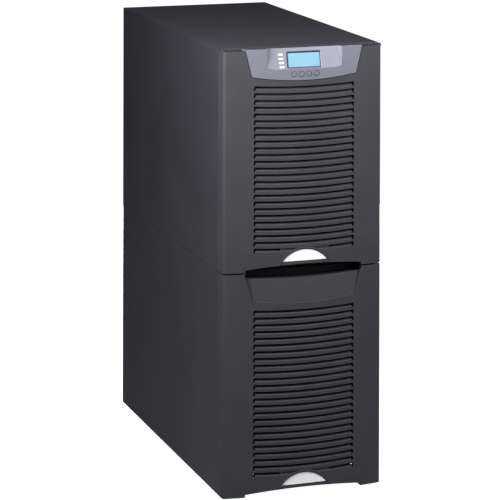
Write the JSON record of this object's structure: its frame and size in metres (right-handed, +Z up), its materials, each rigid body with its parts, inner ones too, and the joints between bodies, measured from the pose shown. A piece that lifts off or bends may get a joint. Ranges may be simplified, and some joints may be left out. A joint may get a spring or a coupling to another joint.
{
  "type": "tower uninterruptible power supply",
  "caption": "Tower power cabinet with two louvred bulged front covers, a silver control panel with a display, a battery drawer, rear fans, casters and levelling feet.",
  "frame": {"origin": "centre of the footprint at floor level, midway between the two sides and between the foremost and rearmost points", "axes": "+Z up, -Y out of the front covers, +X to the right as seen by someone who stands at the front and faces the cabinet"},
  "size_m": [0.305, 0.702, 0.817],
  "materials": {
    "cover_charcoal": "fine matt grain",
    "charcoal_paint": "fine powder coat",
    "black_paint": "satin black coat",
    "latch_silver": "bright satin metallic",
    "silver_plastic": "satin metallic",
    "zinc_steel": "zinc plated",
    "window_clear": "clear",
    "display_blue": "lit display",
    "lens_white": "lit light guide",
    "circuit_board": "solder mask",
    "ribbon_grey": "ribbed",
    "heatsink_aluminium": "extruded",
    "sleeve_blue": "shrink sleeve",
    "winding_copper": "enamelled winding",
    "terminal_cream": "moulded",
    "black_plastic": "moulded",
    "toggle_red": "moulded",
    "battery_grey": "moulded case",
    "cable_red": "cable sleeve"
  },
  "bodies": {
    "cabinet": {"cabinet_frame": "black_paint", "base_pan": "zinc_steel", "mid_deck": "black_paint", "top_panel": "charcoal_paint", "side_panel_upper_left": "charcoal_paint", "side_panel_upper_right": "charcoal_paint", "side_panel_lower_left": "charcoal_paint", "side_panel_lower_right": "charcoal_paint", "rear_panel_upper": "charcoal_paint", "rear_panel_lower": "charcoal_paint", "cabinet_screws": "zinc_steel", "control_panel": "silver_plastic", "display_window": "window_clear", "display_module": "display_blue", "status_lenses": "lens_white", "control_board": "circuit_board", "ribbon_cable": "ribbon_grey", "power_bay_shield": "black_paint", "power_board": "circuit_board", "heatsinks": "heatsink_aluminium", "capacitors": "sleeve_blue", "chokes": "winding_copper", "terminal_block": "terminal_cream", "wiring_cover": "charcoal_paint", "comm_slots": "black_plastic", "input_breaker": "black_plastic", "fan_frames": "black_plastic", "drawer_rails": "zinc_steel", "caster_plates": "zinc_steel"},
    "upper_cover": {"upper_cover": "cover_charcoal", "upper_latch_spring": "zinc_steel"},
    "upper_latch": {"upper_latch": "latch_silver"},
    "battery_drawer": {"battery_drawer": "black_paint", "drawer_screws": "zinc_steel", "batteries": "battery_grey", "battery_harness": "cable_red", "battery_breaker": "black_plastic"},
    "lower_cover": {"lower_cover": "cover_charcoal", "lower_latch_spring": "zinc_steel"},
    "lower_latch": {"lower_latch": "latch_silver"},
    "battery_toggle": {"battery_toggle": "toggle_red"},
    "input_toggle": {"input_toggle": "toggle_red"},
    "fan_rotor_left": {"fan_rotor_left": "black_plastic"},
    "fan_rotor_right": {"fan_rotor_right": "black_plastic"},
    "button_1": {"button_1": "silver_plastic"},
    "button_2": {"button_2": "silver_plastic"},
    "button_3": {"button_3": "silver_plastic"},
    "button_4": {"button_4": "silver_plastic"},
    "caster_fork_front_left": {"caster_fork_front_left": "zinc_steel"},
    "caster_wheel_front_left": {"caster_wheel_front_left": "black_plastic"},
    "foot_front_left": {"foot_front_left": "zinc_steel"},
    "caster_fork_front_right": {"caster_fork_front_right": "zinc_steel"},
    "caster_wheel_front_right": {"caster_wheel_front_right": "black_plastic"},
    "foot_front_right": {"foot_front_right": "zinc_steel"},
    "caster_fork_rear_left": {"caster_fork_rear_left": "zinc_steel"},
    "caster_wheel_rear_left": {"caster_wheel_rear_left": "black_plastic"},
    "foot_rear_left": {"foot_rear_left": "zinc_steel"},
    "caster_fork_rear_right": {"caster_fork_rear_right": "zinc_steel"},
    "caster_wheel_rear_right": {"caster_wheel_rear_right": "black_plastic"},
    "foot_rear_right": {"foot_rear_right": "zinc_steel"}
  },
  "joints": [
    {"name": "cover_upper_tilt", "type": "hinge", "parent": "cabinet", "child": "upper_cover", "pos_m": [0, -0.336, 0.808], "axis": [-1, 0, 0], "range_deg": [0, 25]},
    {"name": "drawer_slide", "type": "slide", "parent": "cabinet", "child": "battery_drawer", "axis": [0, -1, 0], "range_m": [0, 0.5]},
    {"name": "cover_lower_tilt", "type": "hinge", "parent": "battery_drawer", "child": "lower_cover", "pos_m": [0, -0.336, 0.4035], "axis": [-1, 0, 0], "range_deg": [0, 25]},
    {"name": "latch_upper_press", "type": "slide", "parent": "upper_cover", "child": "upper_latch", "axis": [0, 1, 0], "range_m": [0, 0.003], "stiffness_N_per_m": 1500, "springref_m": -0.001, "deforming": ["upper_latch_spring"]},
    {"name": "latch_lower_press", "type": "slide", "parent": "lower_cover", "child": "lower_latch", "axis": [0, 1, 0], "range_m": [0, 0.003], "stiffness_N_per_m": 1500, "springref_m": -0.001, "deforming": ["lower_latch_spring"]},
    {"name": "breaker_battery_flip", "type": "hinge", "parent": "battery_drawer", "child": "battery_toggle", "pos_m": [0, -0.311, 0.353], "axis": [1, 0, 0], "range_deg": [0, 50]},
    {"name": "breaker_input_flip", "type": "hinge", "parent": "cabinet", "child": "input_toggle", "pos_m": [-0.096, 0.3338, 0.606], "axis": [-1, 0, 0], "range_deg": [0, 50]},
    {"name": "fan_left_spin", "type": "hinge", "parent": "cabinet", "child": "fan_rotor_left", "pos_m": [-0.064, 0.335, 0.722], "axis": [0, 1, 0], "continuous": true},
    {"name": "fan_right_spin", "type": "hinge", "parent": "cabinet", "child": "fan_rotor_right", "pos_m": [0.064, 0.335, 0.722], "axis": [0, 1, 0], "continuous": true},
    {"name": "key_1_press", "type": "slide", "parent": "cabinet", "child": "button_1", "axis": [0, 1, 0], "range_m": [0, 0.001], "stiffness_N_per_m": 800, "springref_m": -0.0005},
    {"name": "key_2_press", "type": "slide", "parent": "cabinet", "child": "button_2", "axis": [0, 1, 0], "range_m": [0, 0.001], "stiffness_N_per_m": 800, "springref_m": -0.0005},
    {"name": "key_3_press", "type": "slide", "parent": "cabinet", "child": "button_3", "axis": [0, 1, 0], "range_m": [0, 0.001], "stiffness_N_per_m": 800, "springref_m": -0.0005},
    {"name": "key_4_press", "type": "slide", "parent": "cabinet", "child": "button_4", "axis": [0, 1, 0], "range_m": [0, 0.001], "stiffness_N_per_m": 800, "springref_m": -0.0005},
    {"name": "swivel_front_left", "type": "hinge", "parent": "cabinet", "child": "caster_fork_front_left", "pos_m": [-0.09, -0.235, 0.057], "axis": [0, 0, 1], "continuous": true},
    {"name": "wheel_front_left_roll", "type": "hinge", "parent": "caster_fork_front_left", "child": "caster_wheel_front_left", "pos_m": [-0.09, -0.215, 0.026], "axis": [1, 0, 0], "continuous": true},
    {"name": "foot_front_left_level", "type": "slide", "parent": "cabinet", "child": "foot_front_left", "axis": [0, 0, 1], "range_m": [0, 0.018]},
    {"name": "swivel_front_right", "type": "hinge", "parent": "cabinet", "child": "caster_fork_front_right", "pos_m": [0.09, -0.235, 0.057], "axis": [0, 0, 1], "continuous": true},
    {"name": "wheel_front_right_roll", "type": "hinge", "parent": "caster_fork_front_right", "child": "caster_wheel_front_right", "pos_m": [0.09, -0.215, 0.026], "axis": [1, 0, 0], "continuous": true},
    {"name": "foot_front_right_level", "type": "slide", "parent": "cabinet", "child": "foot_front_right", "axis": [0, 0, 1], "range_m": [0, 0.018]},
    {"name": "swivel_rear_left", "type": "hinge", "parent": "cabinet", "child": "caster_fork_rear_left", "pos_m": [-0.09, 0.235, 0.057], "axis": [0, 0, 1], "continuous": true},
    {"name": "wheel_rear_left_roll", "type": "hinge", "parent": "caster_fork_rear_left", "child": "caster_wheel_rear_left", "pos_m": [-0.09, 0.255, 0.026], "axis": [1, 0, 0], "continuous": true},
    {"name": "foot_rear_left_level", "type": "slide", "parent": "cabinet", "child": "foot_rear_left", "axis": [0, 0, 1], "range_m": [0, 0.018]},
    {"name": "swivel_rear_right", "type": "hinge", "parent": "cabinet", "child": "caster_fork_rear_right", "pos_m": [0.09, 0.235, 0.057], "axis": [0, 0, 1], "continuous": true},
    {"name": "wheel_rear_right_roll", "type": "hinge", "parent": "caster_fork_rear_right", "child": "caster_wheel_rear_right", "pos_m": [0.09, 0.255, 0.026], "axis": [1, 0, 0], "continuous": true},
    {"name": "foot_rear_right_level", "type": "slide", "parent": "cabinet", "child": "foot_rear_right", "axis": [0, 0, 1], "range_m": [0, 0.018]}
  ]
}
